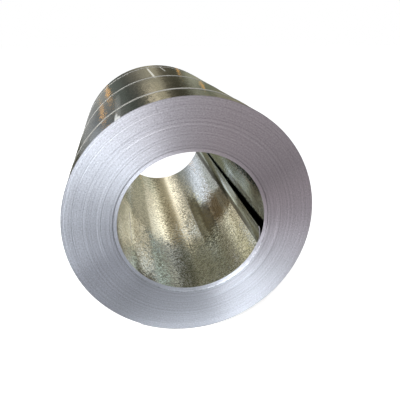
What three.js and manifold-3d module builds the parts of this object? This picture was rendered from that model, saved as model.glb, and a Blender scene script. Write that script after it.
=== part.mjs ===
// A slit coil of galvanised steel strip, lying on its side with the eye horizontal, held by three steel straps.
// Millimetres, +Z up. The eye runs along Y. Everything is drawn in a coil frame whose axis is Z, with the near
// end at +Z, and the whole group is then laid down so that +Z turns to -Y.

import * as THREE from 'three';
import { mergeVertices } from 'three/addons/utils/BufferGeometryUtils.js';
import Module from 'manifold-3d';

const wasm = await Module();
wasm.setup();

// Strip and coil. Angles run counter-clockwise from +X, seen from the near end.
const STRIP_WIDTH = 1250;
const STRIP_THICKNESS = 2.5;
const BORE_RADIUS = 254;
const FULL_TURNS = 72;
const OUTER_TAIL_ANGLE = 243;
const FACETS = 96;

// Free end of the innermost lap, which curls off the bore wall
const INNER_TAIL_ROOT_ANGLE = -21.75;
const INNER_TAIL_SWEEP = 15;
const INNER_TAIL_LIFT = 15;

// Groups of laps, from the bore outwards, and how far each slipped towards the far end as the strip was wound.
// The first group also takes the part turn, and the last one the laps that are left.
const LAP_GROUPS = [
  { laps: 6, slip: 4.0 },
  { laps: 5, slip: 0.0 },
  { laps: 10, slip: 0.9 },
  { laps: 4, slip: -0.6 },
  { laps: 12, slip: 0.5 },
  { laps: 6, slip: -0.4 },
  { laps: 15, slip: 0.3 },
  { laps: 9, slip: -0.9 },
  { laps: Infinity, slip: 0.4 },
];

// Straps, placed from the near end, each closed by a folded seal
const STRAP_WIDTH = 19;
const STRAP_THICKNESS = 0.8;
const STRAPS = { front: 178, middle: 625, back: 1125 };
const SEAL_ANGLE = 25;
const SEAL_LENGTH = 44;
const SEAL_SHEET = 1;
const SEAL_SLOT = 5;
const DECK_MARGIN = 6;
const CLEARANCE = 0.3;

const STATION = 360 / FACETS;

// The strip ends part of a turn beyond the full ones, so the free end's radius follows from the winding.
const PART_TURN = turnFrom(OUTER_TAIL_ANGLE, INNER_TAIL_ROOT_ANGLE);
const TURNS = FULL_TURNS + PART_TURN;
const OUTER_RADIUS = BORE_RADIUS + STRIP_THICKNESS * TURNS;

// Frames and small helpers

function polar(radius, degrees) {
  const angle = THREE.MathUtils.degToRad(degrees);
  return new THREE.Vector2(radius * Math.cos(angle), radius * Math.sin(angle));
}

function turnFrom(start, degrees) {
  return THREE.MathUtils.euclideanModulo(degrees - start, 360) / 360;
}

// Outside of the coil: the spiral loses one sheet thickness in a turn, counter-clockwise from the free end.
function coilRadius(degrees) {
  return OUTER_RADIUS - STRIP_THICKNESS * turnFrom(OUTER_TAIL_ANGLE, degrees);
}

// Angle in which a straight run from the outer radius comes down to touch the inner one.
function touchDown(outer, inner) {
  return THREE.MathUtils.radToDeg(Math.acos(inner / outer));
}

function extrude(outline, hole, length) {
  const shape = new THREE.Shape(outline);
  if (hole) shape.holes.push(new THREE.Path(hole));
  const geometry = new THREE.ExtrudeGeometry(shape, { depth: length, bevelEnabled: false });
  return geometry.translate(0, 0, -length / 2);
}

function toSolid(geometry) {
  geometry.deleteAttribute('normal');
  geometry.deleteAttribute('uv');
  const merged = mergeVertices(geometry, 1e-4);
  const vertProperties = new Float32Array(merged.attributes.position.array);
  const triVerts = new Uint32Array(merged.index.array);
  return new wasm.Manifold(new wasm.Mesh({ numProp: 3, vertProperties, triVerts }));
}

function toGeometry(solid) {
  const { vertProperties, triVerts } = solid.getMesh();
  const geometry = new THREE.BufferGeometry();
  geometry.setAttribute('position', new THREE.BufferAttribute(vertProperties, 3));
  geometry.setIndex(new THREE.BufferAttribute(triVerts, 1));
  geometry.computeVertexNormals();
  return geometry;
}

// Coil

// A boundary between laps, which starts at a radius in line with the outer free end and runs in by one sheet.
function spiral(radius) {
  const points = [];
  for (let k = 0; k <= FACETS; k += 1) {
    points.push(polar(radius - STRIP_THICKNESS * k / FACETS, OUTER_TAIL_ANGLE + k * STATION));
  }
  return points;
}

// The bore wall, then the inside of the lifted end out to its edge, then its outside back to the root.
function boreOutline() {
  const wall = (turned) => BORE_RADIUS + STRIP_THICKNESS * (1 - turned / 360);
  const steps = Math.round(INNER_TAIL_SWEEP / STATION);
  const lift = (j) => INNER_TAIL_LIFT * (j / steps) ** 2;
  const turn = (j) => INNER_TAIL_SWEEP * j / steps;
  const points = [];
  for (let k = 0; k <= FACETS; k += 1) {
    points.push(polar(wall(k * STATION), INNER_TAIL_ROOT_ANGLE + k * STATION));
  }
  for (let j = 1; j <= steps; j += 1) {
    points.push(polar(wall(turn(j)) - lift(j) - STRIP_THICKNESS, INNER_TAIL_ROOT_ANGLE + turn(j)));
  }
  for (let j = steps; j >= 1; j -= 1) {
    points.push(polar(wall(turn(j)) - lift(j), INNER_TAIL_ROOT_ANGLE + turn(j)));
  }
  return points;
}

// Each group of laps is a spiral band as wide as the strip, so what stands proud at one end sits back at the
// other. The bands are fused, because the coil is one strip.
function coilGeometry() {
  let solid = null;
  let wound = PART_TURN;
  for (const { laps, slip } of LAP_GROUPS) {
    const last = Math.min(wound + laps, TURNS);
    if (last <= wound) break;
    const inside = solid ? spiral(BORE_RADIUS + STRIP_THICKNESS * wound) : boreOutline();
    const outside = spiral(BORE_RADIUS + STRIP_THICKNESS * last);
    const band = toSolid(extrude(outside, inside, STRIP_WIDTH).translate(0, 0, -slip));
    solid = solid ? solid.add(band) : band;
    wound = last;
  }
  return toGeometry(solid);
}

// Straps

// Under the seal the strap runs flat, high enough for the seal's folded legs to pass beneath it.
function deckHeight() {
  return coilRadius(SEAL_ANGLE) + 2 * CLEARANCE + SEAL_SHEET;
}

// Angles, counter-clockwise from one landing of the strap to the other, at which it lies on the coil. It comes
// straight down from the deck on both sides, and straight off the coil's free end.
function landedAngles(landing) {
  const stepSpan = touchDown(OUTER_RADIUS, OUTER_RADIUS - STRIP_THICKNESS);
  const past = (degrees) => THREE.MathUtils.euclideanModulo(degrees - SEAL_ANGLE, 360);
  const angles = [SEAL_ANGLE + landing, SEAL_ANGLE - landing, OUTER_TAIL_ANGLE - stepSpan];
  for (let k = 0; k < FACETS; k += 1) {
    const beforeStep = 360 - k * STATION;
    const angle = OUTER_TAIL_ANGLE + k * STATION;
    const onRamp = past(angle) <= landing || past(angle) >= 360 - landing;
    if (!onRamp && beforeStep > stepSpan) angles.push(angle);
  }
  return angles.sort((a, b) => past(a) - past(b));
}

// One face of a strap: `rise` is its height off the coil, `deckRise` its height off the deck's underside, and
// `overlap` the thickness of the end that lies on top as far as the first landing.
function strapLoop(rise, deckRise, overlap) {
  const half = SEAL_LENGTH / 2 + DECK_MARGIN;
  const underside = Math.hypot(deckHeight(), half);
  const deckAngle = THREE.MathUtils.radToDeg(Math.atan2(half, deckHeight()));
  const landing = deckAngle + touchDown(underside, coilRadius(SEAL_ANGLE));
  const points = [
    polar(underside + deckRise, SEAL_ANGLE - deckAngle),
    polar(underside + deckRise, SEAL_ANGLE + deckAngle),
  ];
  const landed = landedAngles(landing);
  if (overlap > 0) points.push(polar(coilRadius(landed[0]) + rise + overlap, landed[0]));
  for (const angle of landed) points.push(polar(coilRadius(angle) + rise, angle));
  return points;
}

function strapGeometry() {
  const inside = strapLoop(CLEARANCE, 0, 0);
  const outside = strapLoop(CLEARANCE + STRAP_THICKNESS, 2 * STRAP_THICKNESS, STRAP_THICKNESS);
  return extrude(outside, inside, STRAP_WIDTH);
}

// Folded sleeve round both strap ends, open along a slot underneath. Drawn across the strap, pushed along it.
function sealGeometry() {
  const inner = STRAP_WIDTH / 2 + CLEARANCE;
  const outer = inner + SEAL_SHEET;
  const slot = SEAL_SLOT / 2;
  const under = deckHeight() - CLEARANCE;
  const over = deckHeight() + 2 * STRAP_THICKNESS + CLEARANCE;
  const section = [
    [-slot, under - SEAL_SHEET], [-slot, under], [-inner, under], [-inner, over],
    [inner, over], [inner, under], [slot, under], [slot, under - SEAL_SHEET],
    [outer, under - SEAL_SHEET], [outer, over + SEAL_SHEET], [-outer, over + SEAL_SHEET], [-outer, under - SEAL_SHEET],
  ];
  return extrude(section.map(([x, y]) => new THREE.Vector2(x, y)), null, SEAL_LENGTH);
}

// Materials

const galvanised = () => new THREE.MeshStandardMaterial({ color: 0x9fa3ab, roughness: 0.4, metalness: 1 });
const strapSteel = () => new THREE.MeshStandardMaterial({ color: 0xb9bcc0, roughness: 0.3, metalness: 1 });
const sealSteel = () => new THREE.MeshStandardMaterial({ color: 0xa9acb0, roughness: 0.35, metalness: 1 });

function named(name, geometry, material) {
  const mesh = new THREE.Mesh(geometry, material);
  mesh.name = name;
  return mesh;
}

// Turns a seal from its own section frame onto the deck: across the strap to the axis, up to the radius.
function sealPlacement(along) {
  const up = polar(1, SEAL_ANGLE);
  const radial = new THREE.Vector3(up.x, up.y, 0);
  const axial = new THREE.Vector3(0, 0, 1);
  const tangent = new THREE.Vector3().crossVectors(axial, radial);
  return new THREE.Matrix4().makeBasis(axial, radial, tangent).setPosition(0, 0, along);
}

const coil = new THREE.Group();
coil.add(named('coil', coilGeometry(), galvanised()));
for (const [place, fromNearEnd] of Object.entries(STRAPS)) {
  const along = STRIP_WIDTH / 2 - fromNearEnd;
  const strap = named(`strap_${place}`, strapGeometry(), strapSteel());
  strap.position.z = along;
  const seal = named(`seal_${place}`, sealGeometry(), sealSteel());
  seal.applyMatrix4(sealPlacement(along));
  coil.add(strap, seal);
}

// Laid down, standing on its lowest point with the origin at the centre of its footprint.
coil.rotation.x = Math.PI / 2;
coil.updateMatrixWorld(true);
const box = new THREE.Box3().setFromObject(coil, true);
const middle = box.getCenter(new THREE.Vector3());
coil.position.set(-middle.x, -middle.y, -box.min.z);

export default coil;
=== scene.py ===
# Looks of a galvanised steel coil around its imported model: the wound strip with every lap on its ends, the
# lifted inner end, the three straps with their folded seals, and a plain pale studio.
import math

import bmesh
import bpy
from mathutils import Matrix, Vector, noise


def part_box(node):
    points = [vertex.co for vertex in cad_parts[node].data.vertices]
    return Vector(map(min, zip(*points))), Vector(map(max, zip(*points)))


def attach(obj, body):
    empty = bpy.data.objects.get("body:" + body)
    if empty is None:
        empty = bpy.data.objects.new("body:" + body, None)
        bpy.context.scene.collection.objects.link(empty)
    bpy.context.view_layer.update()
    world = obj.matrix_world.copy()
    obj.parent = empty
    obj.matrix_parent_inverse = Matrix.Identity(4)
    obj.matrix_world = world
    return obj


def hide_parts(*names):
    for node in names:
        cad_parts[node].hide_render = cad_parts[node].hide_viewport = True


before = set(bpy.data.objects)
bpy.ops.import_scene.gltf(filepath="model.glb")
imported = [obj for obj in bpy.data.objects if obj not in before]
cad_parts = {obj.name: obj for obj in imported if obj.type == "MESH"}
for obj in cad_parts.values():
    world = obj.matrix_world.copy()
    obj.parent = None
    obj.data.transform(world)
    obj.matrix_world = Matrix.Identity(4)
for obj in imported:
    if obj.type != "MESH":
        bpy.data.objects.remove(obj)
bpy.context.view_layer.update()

# Coil, in metres and degrees. Angles run counter-clockwise from +X, seen from the near end along +Y.
SHEET = 0.0025
BORE_RADIUS = 0.254
FULL_LAPS = 72
OUTER_END = 243.0
INNER_END_ROOT = -21.75
INNER_END_SWEEP = 15.0
INNER_END_LIFT = 0.015
# Share of its lift that the inner end has lost by the far end of the bore
FAR_END_SETTLE = 0.8
# Groups of laps, from the bore outwards: how many, and how far they slipped towards the far end
LAP_GROUPS = [
    (6, 0.0040),
    (5, 0.0),
    (10, 0.0009),
    (4, -0.0006),
    (12, 0.0005),
    (6, -0.0004),
    (15, 0.0003),
    (9, -0.0009),
    (5, 0.0004),
]
# How far a lap strays from its group, and where in the noise its strays are read
LAP_WANDER = 0.00022
WANDER_STEP = 1.37
WANDER_ROW = 3.1
NOTCH = 0.00035
STATIONS = 216
# Angle in which the inner end's step comes down, and how far apart, at most, two points are one
STEP_ANGLE = 0.02
MERGE_DISTANCE = 2e-6
# How near a boundary between laps a point is on it, in laps
LAP_TOLERANCE = 0.01
# A face whose normal leans less than this along the axis is a wall of the strip, not a slit edge
WALL_LEAN = 0.3
SHARP_EDGE = 30

# Straps and seals
STRAP_WIDTH = 0.019
STRAP_THICKNESS = 0.0008
STRAPS = {"front": 0.178, "middle": 0.625, "back": 1.125}
STRAP_STATIONS = 192
# Share of the distance between stations within which a strap's corner takes a station's place
CORNER_REACH = 0.3
STRAP_EDGE = 0.3 * STRAP_THICKNESS
SIDE_TOLERANCE = 1e-6
CLEARANCE = 0.00025
SEAL_ANGLE = 25.0
SEAL_LENGTH = 0.044
SEAL_SHEET = 0.001
SEAL_GAP = 0.0003
SEAL_SLOT = 0.005
SEAL_STEPS = 44
SEAL_BEND = 0.0016
BEND_STEPS = 4
DECK_MARGIN = 0.006
# Crimps across a seal: where along it, as shares of its length, then how long, deep and far in from its edges
SEAL_CRIMPS = (-0.32, -0.11, 0.11, 0.32)
CRIMP_HALF = 0.0022
CRIMP_DEPTH = 0.0007
CRIMP_REACH = 0.0045

FIRST_ARC = (INNER_END_ROOT - OUTER_END) % 360
FIRST_EDGE = BORE_RADIUS + SHEET * FIRST_ARC / 360
OUTER_RADIUS = FIRST_EDGE + SHEET * FULL_LAPS


def coil_radius(degrees):
    """Radius of the outermost lap's outside, which loses one sheet in a turn from its free end."""
    return OUTER_RADIUS - SHEET * ((degrees - OUTER_END) % 360) / 360


def coil_axis():
    """Where the coil's axis crosses X and Z: the middle of its box, less what the spiral makes lopsided."""
    low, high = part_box("coil")
    x = (low.x + high.x - coil_radius(0) + coil_radius(180)) / 2
    z = (low.z + high.z - coil_radius(90) + coil_radius(270)) / 2
    return Vector((x, 0, z))


AXIS = coil_axis()
COIL_LOW, COIL_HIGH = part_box("coil")
SLIPS = [slip for _, slip in LAP_GROUPS]
NEAR_Y = COIL_LOW.y - min(SLIPS)
FAR_Y = COIL_HIGH.y - max(SLIPS)

# Under its seal a strap runs flat on a deck, and lands on the coil on both sides of it
DECK_HEIGHT = coil_radius(SEAL_ANGLE) + 2 * SEAL_GAP + SEAL_SHEET
DECK_HALF = SEAL_LENGTH / 2 + DECK_MARGIN
DECK_ANGLE = math.degrees(math.atan2(DECK_HALF, DECK_HEIGHT))
DECK_CORNER = math.hypot(DECK_HEIGHT, DECK_HALF)
LANDING = DECK_ANGLE + math.degrees(math.acos(coil_radius(SEAL_ANGLE) / DECK_CORNER))
STEP_SPAN = math.degrees(math.acos((OUTER_RADIUS - SHEET) / OUTER_RADIUS))

# Camera, placed from the middle of the near end
CAMERA_FROM_NEAR_END = Vector((-0.2141, -1.2654, 0.6122))
CAMERA_FORWARD = Vector((0.17201, 0.91056, -0.37589))
CAMERA_LENS = 37.34
CAMERA_SENSOR = 36
CAMERA_NEAREST = 0.05


def make_camera():
    data = bpy.data.cameras.new("camera")
    data.lens = CAMERA_LENS
    data.sensor_width = CAMERA_SENSOR
    data.clip_start = CAMERA_NEAREST
    camera = bpy.data.objects.new("camera", data)
    camera.location = Vector((AXIS.x, NEAR_Y, AXIS.z)) + CAMERA_FROM_NEAR_END
    camera.rotation_mode = "QUATERNION"
    camera.rotation_quaternion = CAMERA_FORWARD.to_track_quat("-Z", "Y")
    bpy.context.scene.collection.objects.link(camera)
    bpy.context.scene.camera = camera


# Node helpers


class Nodes:
    """A material's or world's node tree, with short calls that add a node and wire its inputs."""

    def __init__(self, owner):
        owner.use_nodes = True
        self.owner = owner
        self.tree = owner.node_tree
        self.tree.nodes.clear()

    def add(self, kind, inputs=None, **settings):
        made = self.tree.nodes.new(kind)
        for key, value in settings.items():
            setattr(made, key, value)
        for key, value in (inputs or {}).items():
            self.feed(made.inputs[key], value)
        return made

    def feed(self, socket, value):
        if isinstance(value, bpy.types.NodeSocket):
            self.tree.links.new(value, socket)
        else:
            socket.default_value = value

    def math(self, operation, *values, clamp=False):
        inputs = dict(enumerate(values))
        return self.add("ShaderNodeMath", inputs, operation=operation, use_clamp=clamp).outputs[0]

    def vector(self, operation, *values):
        inputs = dict(enumerate(values))
        return self.add("ShaderNodeVectorMath", inputs, operation=operation).outputs["Vector"]

    def blend(self, first, second, share):
        """The first value's share, and the rest of the second."""
        rest = self.math("MULTIPLY", second, 1 - share)
        return self.math("ADD", self.math("MULTIPLY", first, share), rest)

    def ramp(self, value, stops):
        made = self.add("ShaderNodeValToRGB", {"Fac": value})
        points = made.color_ramp.elements
        while len(points) < len(stops):
            points.new(1)
        for point, (place, colour) in zip(points, stops):
            point.position = place
            point.color = (*colour, 1)
        return made.outputs["Color"]

    def spread(self, value, low, high, start=0.0, stop=1.0, smooth=False):
        """Carries the span from start to stop over to the span from low to high."""
        inputs = {"Value": value, "From Min": start, "From Max": stop, "To Min": low, "To Max": high}
        course = "SMOOTHSTEP" if smooth else "LINEAR"
        return self.add("ShaderNodeMapRange", inputs, interpolation_type=course).outputs["Result"]

    def noise(self, place, scale, detail=2.0, rough=0.5, dimensions="3D"):
        inputs = {"Scale": scale, "Detail": detail, "Roughness": rough}
        made = self.add("ShaderNodeTexNoise", inputs, noise_dimensions=dimensions)
        self.feed(made.inputs["W" if dimensions == "1D" else "Vector"], place)
        return made.outputs[0]

    def creases(self, place, scale):
        inputs = {"Vector": place, "Scale": scale, "Detail": 2.0}
        return self.add("ShaderNodeTexNoise", inputs).outputs["Color"]

    def spangle(self, place, scale):
        inputs = {"Vector": place, "Scale": scale}
        return self.add("ShaderNodeTexVoronoi", inputs, feature="F1").outputs["Color"]

    def pair(self, x, y):
        return self.add("ShaderNodeCombineXYZ", {"X": x, "Y": y}).outputs[0]

    def dimmed(self, colour, level):
        levels = self.add("ShaderNodeCombineXYZ", {"X": level, "Y": level, "Z": level}).outputs[0]
        return self.vector("MULTIPLY", colour, levels)

    def tint(self, colour, other, share):
        mix = self.add("ShaderNodeMix", {"Factor": share}, data_type="RGBA")
        self.feed(mix.inputs[6], colour)
        self.feed(mix.inputs[7], other)
        return mix.outputs[2]

    def bump(self, height, strength, distance):
        inputs = {"Strength": strength, "Distance": distance, "Height": height}
        return self.add("ShaderNodeBump", inputs).outputs[0]

    def shown(self):
        """1 where a surface is seen straight, mirrored or through glass, and 0 where it only lights."""
        path = self.add("ShaderNodeLightPath").outputs
        seen = self.math("MAXIMUM", path["Is Camera Ray"], path["Is Glossy Ray"])
        return self.math("MAXIMUM", seen, path["Is Transmission Ray"])

    def finish(self, shader):
        self.add("ShaderNodeOutputMaterial", {"Surface": shader.outputs[0]})
        return self.owner


def material_nodes(name):
    return Nodes(bpy.data.materials.new(name))


def from_axis(nodes):
    """The place on the piece, measured from the coil's axis."""
    place = nodes.add("ShaderNodeTexCoord").outputs["Object"]
    return nodes.vector("SUBTRACT", place, tuple(AXIS))


def round_the_axis(nodes, place):
    """Turn counted from the strip's outer end, and distance along the axis."""
    parts = nodes.add("ShaderNodeSeparateXYZ", {"Vector": place}).outputs
    angle = nodes.math("ARCTAN2", parts["Z"], parts["X"])
    past_end = nodes.math("SUBTRACT", nodes.math("DIVIDE", angle, 2 * math.pi), OUTER_END / 360)
    return nodes.math("FRACT", past_end), parts["Y"]


def off_the_axis(nodes, place):
    """Direction outwards, and distance from the axis."""
    flat = nodes.vector("MULTIPLY", place, (1, 0, 1))
    out = nodes.add("ShaderNodeVectorMath", {0: flat}, operation="LENGTH").outputs["Value"]
    return nodes.vector("NORMALIZE", flat), out


def band(nodes, value, middle, half, soft):
    """1 within half of the middle, falling to 0 over soft beyond it."""
    off = nodes.math("ABSOLUTE", nodes.math("SUBTRACT", value, middle))
    return nodes.spread(off, 1.0, 0.0, half, half + soft, smooth=True)


def turn_band(nodes, turn, degrees, half, soft):
    """The same round the coil, with the middle, half and soft in degrees."""
    middle = ((degrees - OUTER_END) % 360) / 360
    return band(nodes, turn, middle, half / 360, soft / 360)


# Materials

# The mauve zone is painted shade: the end faces take a darker mauve where their highlight fan falls dark, and
# the blue elsewhere.
MAUVE_PAINTED_SHADE = (0.40, 0.36, 0.385)
BLUE_EDGE = (0.445, 0.47, 0.52)
MAUVE_PAINTED_SHADE_ZONE = (45, 21.6, 79.2)
# Painted light: a thin line of painted shade outside the innermost laps, painted shade on the outermost lap,
# and a painted highlight on the innermost laps.
# Bands of laps that are brighter or duller on the end faces: lap, half width, soft edge, and level
PAINTED_LIGHT_LAP_BANDS = [(LAP_GROUPS[0][0], 0.12, 0.3, 0.45), (3, 2.6, 0.4, 1.12), (FULL_LAPS, 0.7, 0.4, 0.7)]
# Painted highlights in zones round the end faces, and one zone of painted shade: angle, half width and soft
# edge in degrees, then level
PAINTED_LIGHT_EDGE_ZONES = [(1, 7, 25, 1.42), (300, 4, 22, 1.22), (203, 7, 22, 1.3), (154, 7, 14, 0.9)]

# Grain of the slit edges: how often it changes in a turn, and from lap to lap
GRIT_ALONG = 430.0
GRIT_ACROSS = 0.62

# Spangle: crystals, with finer crumbs between them, and how much of the pattern the crystals make up
SPANGLE = 180.0
CRUMBS = 2.3 * SPANGLE
CRYSTAL_SHARE = 0.65
PATCH_SPECKLE = 0.9
CREASE_SCALE = 75.0
CREASE_STRETCH = (1.0, 0.6, 1.0)
# Middle of a noise or a spangle, which is taken off so that it leans both ways
MIDDLE_TONE = (0.5, 0.5, 0.5)
WHITE_MARK_AND_HIGHLIGHT = (0.78, 0.79, 0.78)
PAINTED_HIGHLIGHT_CREAM = (0.97, 0.92, 0.76)
WRAP_TONES = [(0.3, (0.3, 0.31, 0.3)), (0.7, (0.46, 0.46, 0.43))]
BORE_TONES = [(0.3, (0.9, 0.92, 0.91)), (0.7, (0.96, 0.98, 0.97))]
END_TONES = [(0.3, (0.72, 0.77, 0.77)), (0.7, (0.84, 0.9, 0.9))]
# Each patch is an angle, half width and soft edge in degrees; start, stop and soft ends in metres from the
# near end; then its colour, where it has one of its own, and how strong it is.
# On the outside: a painted highlight in cream at 104° by the near end, and a painted greenish reflection at
# 75°.
WRAP_PAINTED_REFLECTIONS = [
    (104, 3, 5, -0.2, 0.5, 0.3, PAINTED_HIGHLIGHT_CREAM, 0.5),
    (75, 4, 6, 0.1, 1.4, 0.2, (0.24, 0.3, 0.2), 0.5),
]
# Dull white on the outside: a white mark at the near end at 121–122°, a faint painted reflection above it,
# and two thin painted highlights along the coil at 98° and 88°.
WRAP_WHITE_MARK_AND_PAINTED_HIGHLIGHTS = [
    (121.6, 0.9, 1.0, -0.1, 0.04, 0.05, 0.95),
    (122.2, 0.3, 0.8, 0.0, 0.1, 0.08, 0.7),
    (121.2, 0.8, 1.4, 0.0, 0.5, 0.3, 0.2),
    (98.0, 0.4, 0.5, 0.6, 1.08, 0.2, 1.0),
    (88.4, 0.35, 0.4, 0.85, 1.14, 0.12, 0.9),
]
# In the bore: painted reflections in darker and lighter streaks, and painted shade on the wall behind the
# lifted end.
BORE_PAINTED_REFLECTIONS_AND_SHADE = [
    (299, 3.3, 5.5, 0.28, 0.82, 0.4, (0.12, 0.1, 0.055), 0.9),
    (320, 10, 12, 0.38, 0.64, 0.2, (0.22, 0.15, 0.06), 0.9),
    (307, 3, 7, 0.3, 0.67, 0.32, (0.07, 0.05, 0.018), 0.92),
    (336, 2.3, 5.1, 0.38, 0.62, 0.14, (0.22, 0.16, 0.075), 0.9),
    (340, 1.5, 3, 0.68, 1.6, 0.14, (0.13, 0.125, 0.11), 0.9),
    (366, 9, 6, -0.2, 1.6, 0.2, (0.6, 0.72, 0.72), 0.8),
    (357, 3, 5, -0.2, 0.52, 0.2, (0.12, 0.13, 0.11), 0.95),
    (370, 9, 6.8, -0.2, 0.14, 0.14, (0.25, 0.26, 0.24), 0.9),
]
# In the bore: dull white painted highlights, a thin line along the bore at 293° and a pale patch at 215°.
BORE_PAINTED_HIGHLIGHTS = [
    (293, 0.15, 0.5, 0.34, 1.0, 0.3, 0.4),
    (215, 0.5, 0.8, 0.2, 0.5, 0.15, 0.5),
]
# On the lifted end: painted reflections, darker by the near end and lighter towards the far end, and painted
# shade in a line by its root.
END_PAINTED_REFLECTIONS_AND_SHADE = [
    (345, 14, 3, -0.2, 0.32, 0.14, (0.2, 0.2, 0.165), 0.95),
    (346, 9, 4, 0.6, 1.6, 0.15, (0.44, 0.47, 0.47), 0.95),
    (340, 1.5, 2.5, 0.1, 1.6, 0.2, (0.11, 0.1, 0.08), 0.95),
]

# Lines drawn along the straps: how often they change in a turn, and across in a metre
DRAWN_ALONG = 30.0
DRAWN_ACROSS = 500.0


def cut_edge_steel():
    """Slit edges of the laps: bare, with grain along the strip and a tone of its own on each lap, under
    painted highlights and painted shade in bands of laps and in zones round the face.
    """
    nodes = material_nodes("cut_edge_steel")
    place = from_axis(nodes)
    turn, _ = round_the_axis(nodes, place)
    outward, radius = off_the_axis(nodes, place)
    out = nodes.math("DIVIDE", nodes.math("SUBTRACT", radius, BORE_RADIUS), SHEET)
    laps = nodes.math("ADD", nodes.math("SUBTRACT", out, FIRST_ARC / 360), turn)
    wound = nodes.math("SUBTRACT", nodes.math("FLOOR", laps), turn)
    single_laps = nodes.noise(wound, scale=0.61, detail=0.0, dimensions="1D")
    few_laps = nodes.noise(wound, scale=0.37, detail=0.0, dimensions="1D")
    along = nodes.math("MULTIPLY", turn, GRIT_ALONG)
    grit_place = nodes.pair(along, nodes.math("MULTIPLY", laps, GRIT_ACROSS))
    grit = nodes.noise(grit_place, scale=1.0, detail=2.0, rough=0.7)
    tone = nodes.blend(nodes.blend(single_laps, few_laps, share=0.5), grit, share=0.32)
    level = nodes.spread(tone, 0.66, 1.34, start=0.3, stop=0.7)
    # Painted shade and painted highlight in bands of laps
    for lap, half, soft, gain in PAINTED_LIGHT_LAP_BANDS:
        level = nodes.math("MULTIPLY", level, nodes.spread(band(nodes, laps, lap, half, soft), 1.0, gain))
    # Painted highlights and painted shade in zones round the face
    for *zone, gain in PAINTED_LIGHT_EDGE_ZONES:
        level = nodes.math("MULTIPLY", level, nodes.spread(turn_band(nodes, turn, *zone), 1.0, gain))
    # Painted shade: a darker mauve in the zone where the highlight fan falls dark
    colour = nodes.tint((*BLUE_EDGE, 1), (*MAUVE_PAINTED_SHADE, 1), turn_band(nodes, turn, *MAUVE_PAINTED_SHADE_ZONE))
    shader = nodes.add("ShaderNodeBsdfPrincipled", {
        "Base Color": nodes.dimmed(colour, level),
        "Metallic": 1.0,
        "Roughness": nodes.spread(grit, 0.38, 0.54),
        "Anisotropic": 0.8,
        "Tangent": outward,
        "Normal": nodes.bump(grit, strength=0.3, distance=0.0003),
    })
    return nodes.finish(shader)


def patch_mask(nodes, turn, across, cell, patch):
    """Where a patch lies and how strong it is there. The spangle breaks it up."""
    middle, half, soft, start, stop, fade, share = patch
    round_mask = turn_band(nodes, turn, middle, half, soft)
    centre = NEAR_Y + (start + stop) / 2
    long_mask = band(nodes, across, centre, (stop - start) / 2 - fade / 2, fade)
    mask = nodes.math("MULTIPLY", nodes.math("MULTIPLY", round_mask, long_mask), 1 + PATCH_SPECKLE)
    mask = nodes.math("SUBTRACT", mask, nodes.math("MULTIPLY", cell, PATCH_SPECKLE), clamp=True)
    return nodes.math("MULTIPLY", mask, share)


def zinc(name, tones, patches, white_marks_and_highlights, waves, wave_height, speckle, lean, crinkle, rough, edge):
    """Galvanised face of the strip: spangle whose crystals each lean their own way, over soft patches of
    painted reflection, painted highlight and painted shade, and shallow waves along the axis, with dull white
    marks that are painted highlights and reflections, but for one white mark on the outside."""
    nodes = material_nodes(name)
    place = from_axis(nodes)
    turn, across = round_the_axis(nodes, place)
    crystals = nodes.vector("MULTIPLY", nodes.spangle(place, SPANGLE), (CRYSTAL_SHARE,) * 3)
    crumbs = nodes.vector("MULTIPLY", nodes.spangle(place, CRUMBS), (1 - CRYSTAL_SHARE,) * 3)
    cells = nodes.vector("ADD", crystals, crumbs)
    cell = nodes.add("ShaderNodeSeparateXYZ", {"Vector": cells}).outputs["X"]
    cloud = nodes.noise(place, scale=5.0, detail=3.0)
    soft = nodes.noise(nodes.math("MULTIPLY", turn, waves), scale=1.0, detail=1.0, dimensions="1D")
    colour = nodes.ramp(nodes.blend(soft, cloud, share=0.5), tones)
    # Patches of painted reflection, painted highlight and painted shade
    for *patch, paint, share in patches:
        mask = patch_mask(nodes, turn, across, cell, (*patch, share))
        colour = nodes.tint(colour, (*paint, 1), mask)
    colour = nodes.dimmed(colour, nodes.spread(cell, speckle, 1.12, start=0.25, stop=0.62))
    metal = 1.0
    # Dull white marks with less metal: painted highlights and reflections, and one white mark of its own on
    # the outside
    for patch in white_marks_and_highlights:
        mask = patch_mask(nodes, turn, across, cell, patch)
        colour = nodes.tint(colour, (*WHITE_MARK_AND_HIGHLIGHT, 1), mask)
        metal = nodes.math("SUBTRACT", metal, mask)
    wavy = nodes.bump(soft, strength=1.0, distance=wave_height)
    leaning = nodes.vector("MULTIPLY", nodes.vector("SUBTRACT", cells, MIDDLE_TONE), lean)
    creases = nodes.creases(nodes.vector("MULTIPLY", place, CREASE_STRETCH), CREASE_SCALE)
    folded = nodes.vector("MULTIPLY", nodes.vector("SUBTRACT", creases, MIDDLE_TONE), crinkle)
    facing = nodes.vector("NORMALIZE", nodes.vector("ADD", nodes.vector("ADD", wavy, leaning), folded))
    shader = nodes.add("ShaderNodeBsdfPrincipled", {
        "Base Color": colour,
        "Metallic": metal,
        "Roughness": nodes.spread(cell, *rough),
        "Specular Tint": (edge, edge, edge, 1),
        "Normal": facing,
    })
    return nodes.finish(shader)


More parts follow.
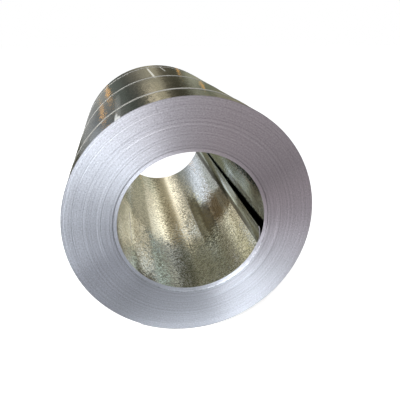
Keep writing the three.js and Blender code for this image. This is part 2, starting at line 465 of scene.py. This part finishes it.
def strap_steel():
    """Bright zinc-coated strapping, drawn lengthwise, with duller rubbed stretches."""
    nodes = material_nodes("strap_steel")
    place = from_axis(nodes)
    turn, across = round_the_axis(nodes, place)
    along = nodes.math("MULTIPLY", turn, DRAWN_ALONG)
    lines_place = nodes.pair(along, nodes.math("MULTIPLY", across, DRAWN_ACROSS))
    lines = nodes.noise(lines_place, scale=1.0, detail=3.0)
    rubbed = nodes.noise(place, scale=14.0, detail=3.0)
    tone = nodes.blend(lines, rubbed, share=0.5)
    shader = nodes.add("ShaderNodeBsdfPrincipled", {
        "Base Color": nodes.ramp(tone, [(0.36, (0.4, 0.4, 0.385)), (0.62, (0.52, 0.51, 0.485))]),
        "Metallic": 1.0,
        "Roughness": nodes.spread(tone, 0.38, 0.5),
        "Specular Tint": (0.4, 0.4, 0.4, 1),
        "Normal": nodes.bump(lines, strength=0.05, distance=0.0001),
    })
    return nodes.finish(shader)


def seal_steel():
    nodes = material_nodes("seal_steel")
    cloud = nodes.noise(from_axis(nodes), scale=60.0, detail=3.0)
    shader = nodes.add("ShaderNodeBsdfPrincipled", {
        "Base Color": nodes.ramp(cloud, [(0.3, (0.42, 0.43, 0.44)), (0.7, (0.6, 0.6, 0.6))]),
        "Metallic": 1.0,
        "Roughness": nodes.spread(cloud, 0.35, 0.5),
    })
    return nodes.finish(shader)


# Pieces


def turn_to(point):
    """Share of a turn from +X to a point, round the Y axis."""
    return (math.degrees(math.atan2(point.z, point.x)) % 360) / 360


def at(radius, y, turn):
    """The point at a radius, a place along Y and a share of a turn from +X."""
    angle = math.radians(turn * 360)
    return Vector((radius * math.cos(angle), y, radius * math.sin(angle)))


def turn_back(degrees):
    """Turns counter-clockwise as seen from the near end."""
    return Matrix.Rotation(-math.radians(degrees), 3, "Y")


def add_object(name, bm, materials):
    """Puts a finished bmesh in the scene as an object at the origin."""
    mesh = bpy.data.meshes.new(name)
    bm.to_mesh(mesh)
    bm.free()
    for material in materials:
        mesh.materials.append(material)
    made = bpy.data.objects.new(name, mesh)
    bpy.context.scene.collection.objects.link(made)
    return made


def make_piece(name, bm, materials, node):
    piece = add_object(name, bm, materials)
    piece.data.set_sharp_from_angle(angle=math.radians(SHARP_EDGE))
    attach(piece, "root")
    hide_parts(node)


def set_down(bm, angle):
    """Turns a piece made with its start at +X to its angle on the coil and moves it to the coil's axis."""
    bmesh.ops.rotate(bm, verts=bm.verts[:], matrix=turn_back(angle))
    bmesh.ops.translate(bm, verts=bm.verts[:], vec=AXIS)


def lap_slip(lap, turn):
    """How far a lap sits towards the far end, part of a turn in from where it starts. Laps count out from the
    bore, and the slip eases over to the next group's in one turn."""
    slips = [slip for laps, slip in LAP_GROUPS for _ in range(laps)]
    count = max(0, min(FULL_LAPS - 1, lap))
    slip = slips[count] + (slips[max(0, count - 1)] - slips[count]) * turn
    slip += LAP_WANDER * noise.noise(Vector(((lap - turn) * WANDER_STEP, WANDER_ROW, 0.0)))
    return max(min(SLIPS), min(max(SLIPS), slip))


def lap_sections():
    """The laps' sections side by side at +X, notched between neighbours."""
    bm = bmesh.new()
    last_edge = FIRST_EDGE + SHEET * FULL_LAPS
    middle = Vector(((FIRST_EDGE + last_edge) / 2, (NEAR_Y + FAR_Y) / 2, 0))
    scale = Vector(((last_edge - FIRST_EDGE) / 2, (FAR_Y - NEAR_Y) / 2, 1))
    place = Matrix.LocRotScale(middle, None, scale)
    bmesh.ops.create_grid(bm, x_segments=FULL_LAPS, y_segments=1, size=1, matrix=place)
    notches = bmesh.ops.bevel(
        bm, geom=bm.verts[:], offset=NOTCH, segments=1, profile=0.5, affect="VERTICES", material=-1
    )["faces"]
    bmesh.ops.delete(bm, geom=notches, context="FACES")
    return bm


def spin_laps(bm):
    """Spins the sections one turn, with a station on each side of the inner end's step, and gives what the
    last station is made of."""
    arcs = [
        (FIRST_ARC, round(STATIONS * FIRST_ARC / 360)),
        (STEP_ANGLE, 1),
        (360 - FIRST_ARC - STEP_ANGLE, round(STATIONS * (1 - FIRST_ARC / 360))),
    ]
    last = bm.faces[:] + bm.edges[:] + bm.verts[:]
    for angle, steps in arcs:
        spun = bmesh.ops.spin(
            bm, geom=last, cent=(0, 0, 0), axis=(0, -1, 0), angle=math.radians(angle), steps=steps
        )
        last = spun["geom_last"]
    return last


def wind_in(bm, ended):
    """Winds the spun laps in by one sheet, so that each runs on into the next, and slips them along the axis.
    The first lap stops at the root of the lifted end."""
    second_edge = FIRST_EDGE + SHEET
    middle_y = (NEAR_Y + FAR_Y) / 2
    for vertex in bm.verts:
        turn = 1.0 if vertex in ended else turn_to(vertex.co)
        radius = math.hypot(vertex.co.x, vertex.co.z)
        y = vertex.co.y
        if turn * 360 > FIRST_ARC + STEP_ANGLE / 2 and radius < second_edge:
            radius = second_edge
            y = NEAR_Y + NOTCH if y < middle_y else FAR_Y - NOTCH
        laps = (radius - FIRST_EDGE) / SHEET
        beside = {math.floor(laps + LAP_TOLERANCE), math.floor(laps - LAP_TOLERANCE)}
        slip = sum(lap_slip(lap, turn) for lap in beside) / len(beside)
        vertex.co = at(radius - SHEET * turn, y + slip, turn)


def wound_coil():
    """Every lap of the strip in one closed skin, with the step at its outer end and the lifted inner end."""
    bm = lap_sections()
    near_cap = bm.faces[:]
    tail_face = max(near_cap, key=lambda face: face.calc_center_median().x)
    last = spin_laps(bm)
    wind_in(bm, {part for part in last if isinstance(part, bmesh.types.BMVert)})
    spare = [face for face in near_cap if face.is_valid and face is not tail_face]
    spare += [part for part in last if isinstance(part, bmesh.types.BMFace)]
    bmesh.ops.delete(bm, geom=spare, context="FACES")
    bmesh.ops.remove_doubles(bm, verts=bm.verts[:], dist=MERGE_DISTANCE)
    lift_inner_end(bm)
    bmesh.ops.recalc_face_normals(bm, faces=bm.faces[:])
    return bm


def is_inner_step(face):
    """Whether a face is the step at the root of the lifted end, which is the first lap's section."""
    centre = face.calc_center_median()
    at_root = abs(turn_to(centre) * 360 - FIRST_ARC) < STEP_ANGLE
    at_bore = math.hypot(centre.x, centre.z) < BORE_RADIUS + SHEET
    return at_root and at_bore and face.calc_area() > SHEET * (FAR_Y - NEAR_Y) / 2


def lift_inner_end(bm):
    """Draws the first lap's end out of its step at the root, curling off the bore wall, and less so towards
    the far end."""
    face = next(face for face in bm.faces if is_inner_step(face))
    steps = round(INNER_END_SWEEP / (360 / STATIONS))
    lifted = 0.0
    for step in range(1, steps + 1):
        drawn = bmesh.ops.extrude_face_region(bm, geom=[face])["geom"]
        bmesh.ops.delete(bm, geom=[face], context="FACES_ONLY")
        face = next(part for part in drawn if isinstance(part, bmesh.types.BMFace))
        lift = INNER_END_LIFT * (step / steps) ** 2 + SHEET * INNER_END_SWEEP / 360 * step / steps
        bmesh.ops.rotate(bm, verts=face.verts, matrix=turn_back(INNER_END_SWEEP / steps))
        inward = -at(1, 0, turn_to(face.calc_center_median()))
        for vertex in face.verts:
            settled = FAR_END_SETTLE * (vertex.co.y - NEAR_Y) / (FAR_Y - NEAR_Y)
            vertex.co += inward * (lift - lifted) * (1 - settled)
        lifted = lift


def on_lifted_end(centre):
    """Whether a place in the bore is on the lifted end, with a degree to spare past its tip."""
    past_root = (turn_to(centre) * 360 - INNER_END_ROOT) % 360
    return past_root < INNER_END_SWEEP + 1 and math.hypot(centre.x, centre.z) < BORE_RADIUS + SHEET / 4


# The coil's finishes, in the order of its material slots
CUT_EDGE, OUTSIDE, BORE, LIFTED_END = range(4)


def coil_finish(face):
    """Which of the coil's finishes a face has."""
    centre = face.calc_center_median() - AXIS
    if not face.smooth:
        return CUT_EDGE
    if math.hypot(centre.x, centre.z) > (BORE_RADIUS + OUTER_RADIUS) / 2:
        return OUTSIDE
    return LIFTED_END if on_lifted_end(centre) else BORE


def make_coil():
    bm = wound_coil()
    set_down(bm, OUTER_END)
    bm.normal_update()
    for face in bm.faces:
        face.smooth = abs(face.normal.y) < WALL_LEAN
        face.material_index = coil_finish(face)
    materials = [
        cut_edge_steel(),
        zinc(
            "zinc_outside", WRAP_TONES, WRAP_PAINTED_REFLECTIONS, WRAP_WHITE_MARK_AND_PAINTED_HIGHLIGHTS, waves=14.0, wave_height=0.003, speckle=0.5,
            lean=(0.12, 0.02, 0.12), crinkle=(0.26, 0.02, 0.26), rough=(0.08, 0.14), edge=0.6
        ),
        zinc(
            "zinc_bore", BORE_TONES, BORE_PAINTED_REFLECTIONS_AND_SHADE, BORE_PAINTED_HIGHLIGHTS, waves=12.0, wave_height=0.004, speckle=0.58,
            lean=(0.12, 0.08, 0.12), crinkle=(0.04, 0.03, 0.04), rough=(0.08, 0.14), edge=1.0
        ),
        zinc(
            "zinc_lifted_end", END_TONES, END_PAINTED_REFLECTIONS_AND_SHADE, [], waves=12.0, wave_height=0.001, speckle=0.85,
            lean=(0.04, 0.03, 0.04), crinkle=(0.02, 0.02, 0.02), rough=(0.1, 0.16), edge=1.0
        ),
    ]
    make_piece("wound_strip", bm, materials, "coil")


# Straps and seals


def strap_underside(degrees):
    """Radius of a strap's inside: flat under its seal, straight down from there to the coil on both sides,
    then on the coil, and straight down off the strip's outer end."""
    past_seal = abs((degrees - SEAL_ANGLE + 180) % 360 - 180)
    if past_seal <= DECK_ANGLE:
        return DECK_HEIGHT / math.cos(math.radians(past_seal))
    if past_seal < LANDING:
        return coil_radius(SEAL_ANGLE) / math.cos(math.radians(LANDING - past_seal)) + CLEARANCE
    before_step = (OUTER_END - degrees) % 360
    if 0 < before_step < STEP_SPAN:
        return (OUTER_RADIUS - SHEET) / math.cos(math.radians(STEP_SPAN - before_step)) + CLEARANCE
    return coil_radius(degrees) + CLEARANCE


def strap_stops():
    """Angles along one strap, from its end under the seal once round to its end on top."""
    start = SEAL_ANGLE - DECK_ANGLE
    stop = SEAL_ANGLE + 360 + LANDING
    step = 360 / STRAP_STATIONS
    even = [start + step * k for k in range(math.ceil((stop - start) / step))]
    sides = (-LANDING, -DECK_ANGLE, DECK_ANGLE, LANDING)
    corners = [SEAL_ANGLE + turn + side for turn in (0, 360) for side in sides]
    corners += [OUTER_END - STEP_SPAN, OUTER_END]
    reach = CORNER_REACH * step
    kept = [angle for angle in even if min(abs(angle - corner) for corner in corners) > reach]
    return sorted(kept + [angle for angle in corners if start <= angle <= stop])


def runs_along_side(edge, middle):
    """Whether an edge runs along one side of a strap, rather than across it or through its thickness."""
    first, second = (vertex.co.y for vertex in edge.verts)
    on_side = abs(abs(first - middle) - STRAP_WIDTH / 2) < SIDE_TOLERANCE
    level = abs(first - second) < SIDE_TOLERANCE
    return on_side and level and edge.calc_length() > 1.5 * STRAP_THICKNESS


def make_strap(place, steel):
    """A strip laid round the coil, its last stretch rising over its own start and on through the seal."""
    stops = strap_stops()
    bm = bmesh.new()
    bmesh.ops.create_grid(bm, x_segments=1, y_segments=len(stops) - 1, size=1)
    rise_start = SEAL_ANGLE + 360 - LANDING
    rise_stop = SEAL_ANGLE + 360 - DECK_ANGLE
    middle = NEAR_Y + STRAPS[place]
    for vertex in bm.verts:
        angle = stops[round((vertex.co.y + 1) / 2 * (len(stops) - 1))]
        over = min(max((angle - rise_start) / (rise_stop - rise_start), 0), 1)
        radius = strap_underside(angle) + over * STRAP_THICKNESS
        vertex.co = at(radius, middle + vertex.co.x * STRAP_WIDTH / 2, angle / 360)
    bmesh.ops.recalc_face_normals(bm, faces=bm.faces[:])
    bm.faces.ensure_lookup_table()
    inward = bm.faces[0].normal.dot(bm.faces[0].calc_center_median()) < 0
    bmesh.ops.solidify(bm, geom=bm.faces[:], thickness=STRAP_THICKNESS if inward else -STRAP_THICKNESS)
    bmesh.ops.recalc_face_normals(bm, faces=bm.faces[:])
    long_edges = [edge for edge in bm.edges if runs_along_side(edge, middle)]
    bmesh.ops.bevel(
        bm, geom=long_edges, offset=STRAP_EDGE, segments=2, profile=0.5, affect="EDGES", material=-1
    )
    bmesh.ops.translate(bm, verts=bm.verts[:], vec=AXIS)
    for face in bm.faces:
        face.smooth = True
    make_piece(f"strapping_{place}", bm, [steel], f"strap_{place}")


def seal_profile(side):
    """Outer line of the folded sheet, across the strap and up from the coil, round all its bends."""
    low = DECK_HEIGHT - SEAL_GAP - SEAL_SHEET
    high = DECK_HEIGHT + 2 * STRAP_THICKNESS + SEAL_GAP + SEAL_SHEET
    right = [Vector((SEAL_SLOT / 2, low)), Vector((side - CRIMP_REACH, low))]
    for centre, start in ((low + SEAL_BEND, -90), (high - SEAL_BEND, 0)):
        for step in range(BEND_STEPS + 1):
            angle = math.radians(start + 90 / BEND_STEPS * step)
            bend = SEAL_BEND * Vector((math.cos(angle), math.sin(angle)))
            right.append(Vector((side - SEAL_BEND, centre)) + bend)
    right.append(Vector((side - CRIMP_REACH, high)))
    return right + [Vector((-point.x, point.y)) for point in reversed(right)]


def crimp_at(along):
    """How deep the nearest crimp is at a place along the seal, from 0 to 1."""
    offs = [(along / SEAL_LENGTH - crimp) * SEAL_LENGTH / CRIMP_HALF for crimp in SEAL_CRIMPS]
    return max(math.exp(-off ** 4) for off in offs)


def make_seal(place, steel):
    """Sleeve folded round both ends of a strap, open along a slot beneath, and crimped at its edges."""
    side = STRAP_WIDTH / 2 + SEAL_GAP + SEAL_SHEET
    profile = seal_profile(side)
    bm = bmesh.new()
    bmesh.ops.create_grid(bm, x_segments=SEAL_STEPS, y_segments=len(profile) - 1, size=1)
    for vertex in bm.verts:
        point = profile[round((vertex.co.y + 1) / 2 * (len(profile) - 1))]
        vertex.co = Vector((point.y, point.x, vertex.co.x * SEAL_LENGTH / 2))
    bmesh.ops.recalc_face_normals(bm, faces=bm.faces[:])
    bmesh.ops.solidify(bm, geom=bm.faces[:], thickness=SEAL_SHEET)
    bmesh.ops.recalc_face_normals(bm, faces=bm.faces[:])
    middle_height = DECK_HEIGHT + STRAP_THICKNESS
    for vertex in bm.verts:
        edge = min(max((abs(vertex.co.y) - side + CRIMP_REACH) / CRIMP_REACH, 0), 1)
        share = (vertex.co.x - middle_height) / (SEAL_SHEET + SEAL_GAP + STRAP_THICKNESS)
        vertex.co.x -= CRIMP_DEPTH * crimp_at(vertex.co.z) * edge * share
        vertex.co.y += NEAR_Y + STRAPS[place]
    set_down(bm, SEAL_ANGLE)
    for face in bm.faces:
        face.smooth = True
    make_piece(f"folded_seal_{place}", bm, [steel], f"seal_{place}")


# Studio

FLOOR_HALF = 30
FLOOR_PAINT = (0.9, 0.9, 0.9, 1)
FLOOR_GLOW = 0.47
SKY_SHOWN = (1, 1, 1, 1)
SKY_LIGHT = (0.6, 0.61, 0.62, 1)
COIL_MIDDLE = (0, -0.6, 0.45)
# Name, place, what it aims at, size, power and colour
LAMPS = [
    ("left_softbox", (-3.1, -3.7, 1.5), COIL_MIDDLE, (2.8, 2.4), 150, (1, 1, 1)),
    ("high_softbox", (-1.5, -4.0, 2.5), COIL_MIDDLE, (1.8, 1.8), 75, (1, 1, 1)),
    ("top_softbox", (0.4, 0.6, 3.4), (0, 0, 0.45), (2.4, 2.4), 25, (1, 1, 1)),
    ("back_warm_panel", (-0.1, 7.8, 2.3), (0, 0.5, 0.9), (0.5, 0.4), 0.4, (1, 0.88, 0.68)),
]

# Hall that stands behind the coil for the metal to mirror: how far right of the coil, and the tone there
HALL_WIDTH = 12.0
HALL_TOP = 2.6
HALL_Y = 8.0
HALL_TONES = [
    (-4.4, (0.36, 0.36, 0.3)),
    (-4.1, (0.28, 0.24, 0.16)),
    (-3.2, (0.28, 0.24, 0.16)),
    (-3.0, (0.8, 0.86, 0.93)),
    (-2.4, (0.8, 0.86, 0.93)),
    (-2.1, (0.26, 0.28, 0.29)),
    (-1.45, (0.36, 0.37, 0.34)),
    (-1.2, (0.2, 0.23, 0.2)),
    (-0.9, (0.16, 0.175, 0.15)),
    (-0.6, (0.21, 0.205, 0.17)),
    (-0.42, (0.26, 0.245, 0.19)),
    (-0.2, (0.42, 0.39, 0.3)),
    (0.1, (0.5, 0.47, 0.345)),
    (0.42, (0.62, 0.57, 0.41)),
    (0.62, (0.24, 0.215, 0.15)),
    (0.85, (0.15, 0.14, 0.095)),
    (1.2, (0.09, 0.085, 0.055)),
    (1.5, (0.28, 0.28, 0.2)),
    (1.75, (0.44, 0.44, 0.33)),
    (2.05, (0.2, 0.22, 0.15)),
    (2.55, (0.34, 0.32, 0.225)),
    (2.9, (0.34, 0.32, 0.225)),
    (3.5, (0.36, 0.33, 0.24)),
    (3.8, (0.26, 0.235, 0.15)),
    (4.8, (0.22, 0.2, 0.13)),
]
# Roof above the hall: tone by angle round the coil's axis, in three rings from the nearest to the farthest
ROOF_TOP = 6.6
ROOF_RINGS = [
    [
        (35, (0.63, 0.57, 0.39)),
        (50, (1.07, 0.98, 0.71)),
        (61, (0.5, 0.45, 0.3)),
        (71, (0.33, 0.28, 0.17)),
        (82, (0.58, 0.51, 0.34)),
        (90, (1.25, 1.12, 0.86)),
        (98, (1.5, 1.38, 1.06)),
        (104, (0.85, 0.78, 0.6)),
        (114, (0.39, 0.36, 0.27)),
        (125, (0.19, 0.17, 0.13)),
        (135, (0.33, 0.33, 0.28)),
        (146, (0.65, 0.67, 0.63)),
        (160, (0.74, 0.77, 0.72)),
    ],
    [
        (30, (0.74, 0.71, 0.54)),
        (39, (1, 0.98, 0.8)),
        (50, (1.49, 1.38, 1.05)),
        (61, (0.42, 0.36, 0.23)),
        (71, (0.12, 0.085, 0.035)),
        (82, (0.3, 0.24, 0.13)),
        (91, (0.88, 0.77, 0.52)),
        (97, (0.56, 0.49, 0.34)),
        (105, (0.16, 0.135, 0.075)),
        (114, (0.34, 0.3, 0.2)),
        (123, (0.7, 0.67, 0.46)),
        (160, (0.72, 0.7, 0.5)),
    ],
    [
        (30, (0.55, 0.5, 0.32)),
        (54, (0.58, 0.53, 0.32)),
        (73, (0.5, 0.48, 0.38)),
        (88, (0.95, 0.98, 0.92)),
        (125, (1.1, 1.15, 1.08)),
        (160, (1.0, 1.05, 0.98)),
    ],
]
# Distances from the axis over which one ring gives way to the next
RING_EDGES = [(3.1, 3.7), (4.15, 4.5)]
# Cards stand just before the hall, facing along Y, or lie just above the floor, facing along Z. Each row is a
# name, place, facing, size and glow.
STAND_Y = HALL_Y - 0.05
LIE_Z = 0.02
ORANGE_CARDS = [
    ("orange_card_1", (-1.80, STAND_Y, 0.62), "Y", (0.3, 0.12), (3.3, 1.749, 0.495)),
    ("orange_card_2", (-1.31, STAND_Y, 0.8), "Y", (0.25, 0.1), (3.3, 1.749, 0.495)),
    ("orange_card_3", (1.30, STAND_Y, 0.98), "Y", (0.06, 0.3), (1.6, 0.848, 0.24)),
    ("orange_card_4", (1.97, STAND_Y, 1.0), "Y", (0.1, 0.3), (1.6, 0.848, 0.24)),
]
PLAIN_CARDS = [
    ("gold_card", (2.5, STAND_Y, 2.2), "Y", (1.1, 0.8), (0.68, 0.62, 0.46)),
    ("front_floor_card", (1.2, -2.4, LIE_Z), "Z", (3.6, 3.4), (0.34, 0.33, 0.34)),
    ("back_floor_card", (0.1, 2.82, LIE_Z), "Z", (1.2, 1.7), (0.56, 0.59, 0.53)),
    ("shade_card", (0.4, 1.35, LIE_Z), "Z", (1.2, 1.24), (0.2, 0.19, 0.125)),
    ("dark_shade_card", (-0.9, 1.35, LIE_Z), "Z", (1.4, 1.24), (0.1, 0.095, 0.06)),
    ("dark_floor_card", (-1.35, 2.43, LIE_Z), "Z", (1.7, 0.92), (0.1, 0.095, 0.065)),
    ("outer_left_card", (-3.7, 4.7, LIE_Z), "Z", (3.0, 6.4), (0.37, 0.355, 0.26)),
    ("left_floor_card", (-1.35, 3.4, LIE_Z), "Z", (1.7, 1.0), (0.34, 0.35, 0.33)),
    ("near_right_card", (1.3, 2.55, LIE_Z), "Z", (1.2, 1.3), (0.15, 0.14, 0.08)),
    ("right_floor_card", (1.45, 5.55, LIE_Z), "Z", (1.1, 4.7), (0.35, 0.34, 0.25)),
    ("outer_floor_card", (3.5, 4.9, LIE_Z), "Z", (3.0, 6.0), (0.19, 0.165, 0.1)),
    ("far_floor_card", (-1.5, 5.9, LIE_Z), "Z", (2.6, 3.9), (0.4, 0.41, 0.4)),
    ("foot_card", (-1.32, STAND_Y, 0.37), "Y", (0.36, 0.74), (0.5, 0.51, 0.47)),
    ("low_card", (-3.6, STAND_Y, 0.3), "Y", (1.8, 0.6), (0.42, 0.45, 0.42)),
]


def make_floor():
    bm = bmesh.new()
    bmesh.ops.create_grid(bm, x_segments=1, y_segments=1, size=FLOOR_HALF)
    nodes = material_nodes("pale_floor")
    glow = nodes.add("ShaderNodeEmission", {"Strength": nodes.math("MULTIPLY", nodes.shown(), FLOOR_GLOW)})
    paint = nodes.add("ShaderNodeBsdfDiffuse", {"Color": FLOOR_PAINT})
    both = nodes.add("ShaderNodeAddShader", {0: paint.outputs[0], 1: glow.outputs[0]})
    add_object("floor", bm, [nodes.finish(both)])


def make_world():
    """White where it shows, straight or in the metal, and grey where it only lights."""
    nodes = Nodes(bpy.data.worlds.new("studio"))
    white = nodes.add("ShaderNodeBackground", {"Color": SKY_SHOWN})
    grey = nodes.add("ShaderNodeBackground", {"Color": SKY_LIGHT})
    mix = nodes.add("ShaderNodeMixShader", {0: nodes.shown(), 1: grey.outputs[0], 2: white.outputs[0]})
    nodes.add("ShaderNodeOutputWorld", {0: mix.outputs[0]})
    bpy.context.scene.world = nodes.owner


def make_lamp(name, place, aim, size, power, colour):
    data = bpy.data.lights.new(name, "AREA")
    data.shape = "RECTANGLE"
    data.size, data.size_y = size
    data.energy = power
    data.color = colour
    lamp = bpy.data.objects.new(name, data)
    lamp.location = place
    lamp.rotation_mode = "QUATERNION"
    lamp.rotation_quaternion = (Vector(aim) - Vector(place)).to_track_quat("-Z", "Y")
    lamp.visible_camera = False
    bpy.context.scene.collection.objects.link(lamp)


def make_card(name, place, facing, size, material):
    """A card that only the metal sees, as a studio stands one beside bright metal."""
    bm = bmesh.new()
    bmesh.ops.create_grid(bm, x_segments=1, y_segments=1, size=0.5)
    bmesh.ops.scale(bm, vec=(*size, 1), verts=bm.verts[:])
    if facing == "Y":
        bmesh.ops.rotate(bm, verts=bm.verts[:], matrix=Matrix.Rotation(math.radians(90), 3, "X"))
    bmesh.ops.translate(bm, verts=bm.verts[:], vec=place)
    card = add_object(name, bm, [material])
    for ray in ("camera", "diffuse", "transmission", "shadow"):
        setattr(card, f"visible_{ray}", False)


def hall_tones():
    nodes = material_nodes("hall_tones")
    place = nodes.add("ShaderNodeTexCoord").outputs["Object"]
    right = nodes.add("ShaderNodeSeparateXYZ", {"Vector": place}).outputs["X"]
    along = nodes.spread(right, 0.0, 1.0, start=-HALL_WIDTH / 2, stop=HALL_WIDTH / 2)
    colour = nodes.ramp(along, [(x / HALL_WIDTH + 0.5, tone) for x, tone in HALL_TONES])
    clutter_place = nodes.vector("MULTIPLY", place, (1.0, 1.0, 0.6))
    clutter = nodes.noise(clutter_place, scale=2.6, detail=3.0, rough=0.6)
    strength = nodes.spread(clutter, 0.7, 1.3, start=0.3, stop=0.7)
    return nodes.finish(nodes.add("ShaderNodeEmission", {"Color": colour, "Strength": strength}))


def roof_tones():
    nodes = material_nodes("roof_tones")
    place = from_axis(nodes)
    _, out = off_the_axis(nodes, place)
    parts = nodes.add("ShaderNodeSeparateXYZ", {"Vector": place}).outputs
    half_turn = nodes.math("DIVIDE", nodes.math("ARCTAN2", parts["Z"], parts["X"]), math.pi)
    rings = [nodes.ramp(half_turn, [(angle / 180, tone) for angle, tone in ring]) for ring in ROOF_RINGS]
    colour = rings[0]
    for ring, (start, stop) in zip(rings[1:], RING_EDGES):
        colour = nodes.tint(colour, ring, nodes.spread(out, 0.0, 1.0, start, stop, smooth=True))
    return nodes.finish(nodes.add("ShaderNodeEmission", {"Color": colour}))


def plain_glow(name, colour):
    nodes = material_nodes(name)
    return nodes.finish(nodes.add("ShaderNodeEmission", {"Color": (*colour, 1)}))


def make_plain_cards(rows):
    for name, place, facing, size, glow in rows:
        make_card(name, place, facing, size, plain_glow(f"{name}_glow", glow))


def make_hall():
    """The hall and its roof, with the cards before it and on its floor."""
    roof_place = (0, HALL_Y, (HALL_TOP + ROOF_TOP) / 2)
    make_card("hall_card", (0, HALL_Y, HALL_TOP / 2), "Y", (HALL_WIDTH, HALL_TOP), hall_tones())
    make_plain_cards(ORANGE_CARDS)
    make_card("roof_card", roof_place, "Y", (HALL_WIDTH, ROOF_TOP - HALL_TOP), roof_tones())
    make_plain_cards(PLAIN_CARDS)


make_camera()
make_coil()
strap_finish = strap_steel()
seal_finish = seal_steel()
for strap_place in STRAPS:
    make_strap(strap_place, strap_finish)
    make_seal(strap_place, seal_finish)
make_floor()
make_world()
for lamp in LAMPS:
    make_lamp(*lamp)
make_hall()
bpy.context.scene.view_settings.view_transform = "Standard"
